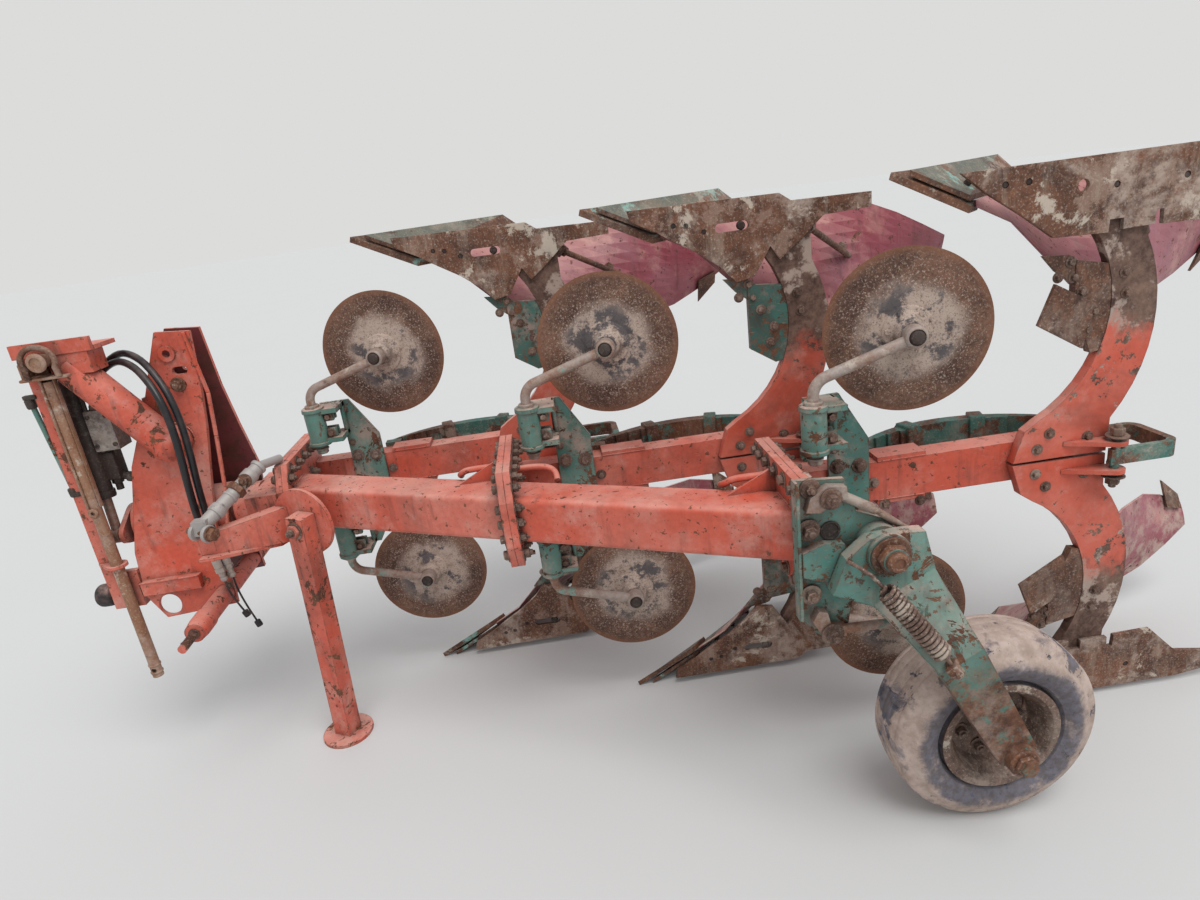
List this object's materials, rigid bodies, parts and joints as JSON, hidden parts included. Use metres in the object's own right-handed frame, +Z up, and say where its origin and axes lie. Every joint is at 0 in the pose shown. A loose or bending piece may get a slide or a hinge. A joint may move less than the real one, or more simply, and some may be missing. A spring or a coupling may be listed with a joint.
{
  "type": "mounted reversible mouldboard plough",
  "caption": "Mounted reversible plough with paired mouldboard bodies above and below its beam, disc coulters, leaf-spring legs, a gauge wheel, a parking stand and a turnover headstock.",
  "frame": {"origin": "on the ground under the middle of the plough, seen from above", "axes": "+X from the headstock to the rear, +Y to the plough's right as it is pulled, +Z up"},
  "size_m": [4.1462, 1.925, 1.77],
  "materials": {
    "frame_paint": "worn red paint, dusty",
    "leg_paint": "worn red paint, bare and rusty towards the tips",
    "spring_steel": "dark rusty spring steel",
    "share_steel": "scoured steel with rust",
    "landside_steel": "rusty steel with dried mud",
    "board_paint": "red paint worn to dark rust",
    "bracket_paint": "green and red paint worn to rust",
    "rusty_steel": "rust",
    "green_paint": "worn dark green paint",
    "stem_steel": "worn and rusty",
    "disc_steel": "rusty steel with pale dried mud",
    "rim_paint": "pale paint under mud",
    "tyre": "rubber under dried mud",
    "bare_steel": "dull, rusty in places",
    "head_paint": "faded red paint with rust spots",
    "cylinder_paint": "dark, oily",
    "bumper_rubber": "matt",
    "hose_rubber": "semi-matt"
  },
  "bodies": {
    "frame": {"main_beam_1": "frame_paint", "main_beam_2": "frame_paint", "swing_head": "frame_paint", "leg_beam_1": "frame_paint", "leg_beam_2": "frame_paint", "leg_beam_3": "frame_paint", "leg_1": "leg_paint", "leg_2": "leg_paint", "leg_3": "leg_paint", "leaf_spring_1": "spring_steel", "leaf_spring_2": "spring_steel", "leaf_spring_3": "spring_steel", "shackle_1": "spring_steel", "shackle_2": "spring_steel", "shackle_3": "spring_steel", "share_1": "share_steel", "share_2": "share_steel", "share_3": "share_steel", "landside_1": "landside_steel", "landside_2": "landside_steel", "landside_3": "landside_steel", "mouldboard_1": "board_paint", "mouldboard_2": "board_paint", "mouldboard_3": "board_paint", "frog_bracket_1": "bracket_paint", "frog_bracket_2": "bracket_paint", "frog_bracket_3": "bracket_paint", "stays": "rusty_steel", "tail_strips": "rusty_steel", "coulter_mounts": "green_paint", "coulter_stems": "stem_steel", "wheel_bracket": "green_paint", "wheel_stops": "bare_steel", "round_plate": "frame_paint", "width_cylinder": "bare_steel"},
    "headstock": {"mast": "head_paint", "cross_shaft": "head_paint", "anchor_arm": "head_paint", "guide_plate": "head_paint", "guide_pipe": "rusty_steel", "bumper": "bumper_rubber", "hoses": "hose_rubber", "valve_block": "cylinder_paint"},
    "turn_barrel": {"turn_barrel": "cylinder_paint"},
    "turn_rod": {"turn_rod": "bare_steel"},
    "stand": {"stand": "head_paint"},
    "wheel_arm": {"wheel_arm": "green_paint", "wheel_spring": "bare_steel"},
    "wheel": {"wheel_rim": "rim_paint", "wheel_tyre": "tyre"},
    "disc_up_1": {"disc_up_1": "disc_steel"},
    "disc_up_2": {"disc_up_2": "disc_steel"},
    "disc_up_3": {"disc_up_3": "disc_steel"},
    "disc_low_1": {"disc_low_1": "disc_steel"},
    "disc_low_2": {"disc_low_2": "disc_steel"},
    "disc_low_3": {"disc_low_3": "disc_steel"}
  },
  "joints": [
    {"name": "turnover", "type": "hinge", "parent": "frame", "child": "headstock", "pos_m": [-1.73585, 0.2525, 0.885], "axis": [-1, 0, 0], "range_deg": [0, 180]},
    {"name": "cylinder_swing", "type": "hinge", "parent": "headstock", "child": "turn_barrel", "pos_m": [-1.94085, 0.1925, 1.49], "axis": [1, 0, 0], "range_deg": [0, 17.4]},
    {"name": "cylinder_stroke", "type": "slide", "parent": "turn_barrel", "child": "turn_rod", "axis": [0, -0.0513, -0.9987], "range_m": [0, 0.086]},
    {"name": "stand_fold", "type": "hinge", "parent": "frame", "child": "stand", "pos_m": [-1.24114, -0.005, 0.87], "axis": [0.4534, 0.8913, 0], "range_deg": [-90, 0]},
    {"name": "wheel_arm_swing", "type": "hinge", "parent": "frame", "child": "wheel_arm", "pos_m": [0.44415, -0.6975, 0.885], "axis": [0, -1, 0], "range_deg": [0, 124]},
    {"name": "wheel_spin", "type": "hinge", "parent": "wheel_arm", "child": "wheel", "pos_m": [0.74779, -0.7385, 0.29], "axis": [0, 1, 0], "continuous": true},
    {"name": "disc_up_1_spin", "type": "hinge", "parent": "frame", "child": "disc_up_1", "pos_m": [-0.93585, 0.3925, 1.35], "axis": [-0.1736, -0.9848, 0], "continuous": true},
    {"name": "disc_low_1_spin", "type": "hinge", "parent": "frame", "child": "disc_low_1", "pos_m": [-0.94533, 0.43211, 0.42], "axis": [-0.0349, -0.9994, 0], "continuous": true},
    {"name": "disc_up_2_spin", "type": "hinge", "parent": "frame", "child": "disc_up_2", "pos_m": [-0.13385, -0.0155, 1.35], "axis": [-0.1736, -0.9848, 0], "continuous": true},
    {"name": "disc_low_2_spin", "type": "hinge", "parent": "frame", "child": "disc_low_2", "pos_m": [-0.14333, 0.02411, 0.42], "axis": [-0.0349, -0.9994, 0], "continuous": true},
    {"name": "disc_up_3_spin", "type": "hinge", "parent": "frame", "child": "disc_up_3", "pos_m": [0.66815, -0.4235, 1.35], "axis": [-0.1736, -0.9848, 0], "continuous": true},
    {"name": "disc_low_3_spin", "type": "hinge", "parent": "frame", "child": "disc_low_3", "pos_m": [0.65867, -0.38389, 0.42], "axis": [-0.0349, -0.9994, 0], "continuous": true}
  ]
}
